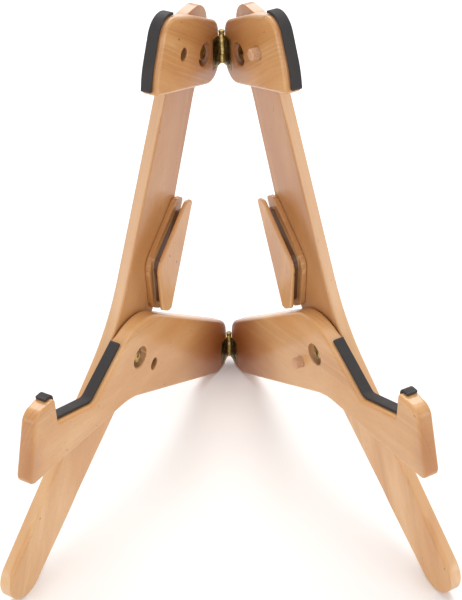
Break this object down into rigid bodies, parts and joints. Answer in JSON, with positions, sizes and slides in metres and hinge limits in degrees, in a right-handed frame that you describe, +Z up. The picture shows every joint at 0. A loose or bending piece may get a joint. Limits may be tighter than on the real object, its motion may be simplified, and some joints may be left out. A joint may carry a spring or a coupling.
{
  "type": "folding wooden guitar stand",
  "caption": "Folding wooden guitar stand: mirrored halves hinged in a V, each with a long leg, a padded cradle arm with a front hook and a padded top yoke.",
  "frame": {"origin": "on the floor, under the middle of the bounding box of the open stand", "axes": "+Z up, front (hooks and feet) towards -Y, +X to the right seen from the front, mirror plane X = 0"},
  "size_m": [0.3454, 0.3006, 0.3792],
  "materials": {
    "wood": "satin clear lacquer over pale straight-grained hardwood",
    "dowel": "bare fluted hardwood",
    "rubber": "matt charcoal",
    "brass": "darkened antique brass, worn bright on edges",
    "steel": "plain zinc plated",
    "nylon": "natural"
  },
  "bodies": {
    "left_leg": {"left_leg": "wood", "left_spacer": "wood", "left_spacer_screw_1": "steel", "left_spacer_screw_2": "steel", "left_yoke_pivot_sleeve": "brass", "left_yoke_pivot_bolt": "brass", "left_yoke_pivot_washer": "nylon", "left_arm_pivot_sleeve": "brass", "left_arm_pivot_bolt": "brass", "left_arm_pivot_washer": "nylon"},
    "left_yoke": {"left_yoke": "wood", "left_yoke_pad": "rubber", "top_hinge_left_leaf": "brass", "top_hinge_left_screw_1": "brass", "top_hinge_left_screw_2": "brass", "top_hinge_pin": "brass"},
    "left_arm": {"left_arm": "wood", "left_arm_pad": "rubber", "lower_hinge_left_leaf": "brass", "lower_hinge_left_screw_1": "brass", "lower_hinge_left_screw_2": "brass", "lower_hinge_pin": "brass"},
    "right_yoke": {"right_yoke": "wood", "right_yoke_pad": "rubber", "top_hinge_right_leaf": "brass", "top_hinge_right_screw_1": "brass", "top_hinge_right_screw_2": "brass", "yoke_peg": "dowel"},
    "right_leg": {"right_leg": "wood", "right_spacer": "wood", "right_spacer_screw_1": "steel", "right_spacer_screw_2": "steel", "right_yoke_pivot_sleeve": "brass", "right_yoke_pivot_bolt": "brass", "right_yoke_pivot_washer": "nylon", "right_arm_pivot_sleeve": "brass", "right_arm_pivot_bolt": "brass", "right_arm_pivot_washer": "nylon"},
    "right_arm": {"right_arm": "wood", "right_arm_pad": "rubber", "lower_hinge_right_leaf": "brass", "lower_hinge_right_screw_1": "brass", "lower_hinge_right_screw_2": "brass", "arm_peg": "dowel"}
  },
  "joints": [
    {"name": "yoke_swing", "type": "hinge", "parent": "left_leg", "child": "left_yoke", "pos_m": [-0.01794, 0.1157, 0.3268], "axis": [-0.8882, 0.4594, 0], "range_deg": [-83, 0]},
    {"name": "fold", "type": "hinge", "parent": "left_yoke", "child": "right_yoke", "pos_m": [0, 0.13546, 0.3205], "axis": [0, 0, 1], "range_deg": [-54.7, 25]},
    {"name": "right_leg_swing", "type": "hinge", "parent": "right_yoke", "child": "right_leg", "pos_m": [0.01794, 0.1157, 0.3268], "axis": [0.8882, 0.4594, 0], "range_deg": [-83, 0]},
    {"name": "arm_swing", "type": "hinge", "parent": "left_leg", "child": "left_arm", "pos_m": [-0.07431, 0.00671, 0.119], "axis": [-0.8882, 0.4594, 0], "range_deg": [0, 105]},
    {"name": "right_arm_swing", "type": "hinge", "parent": "right_leg", "child": "right_arm", "pos_m": [0.07431, 0.00671, 0.119], "axis": [-0.8882, -0.4594, 0], "range_deg": [0, 105]}
  ],
  "couplings": [
    {"joint": "right_leg_swing", "follows": "yoke_swing", "ratio": 1},
    {"joint": "right_arm_swing", "follows": "arm_swing", "ratio": 1}
  ]
}
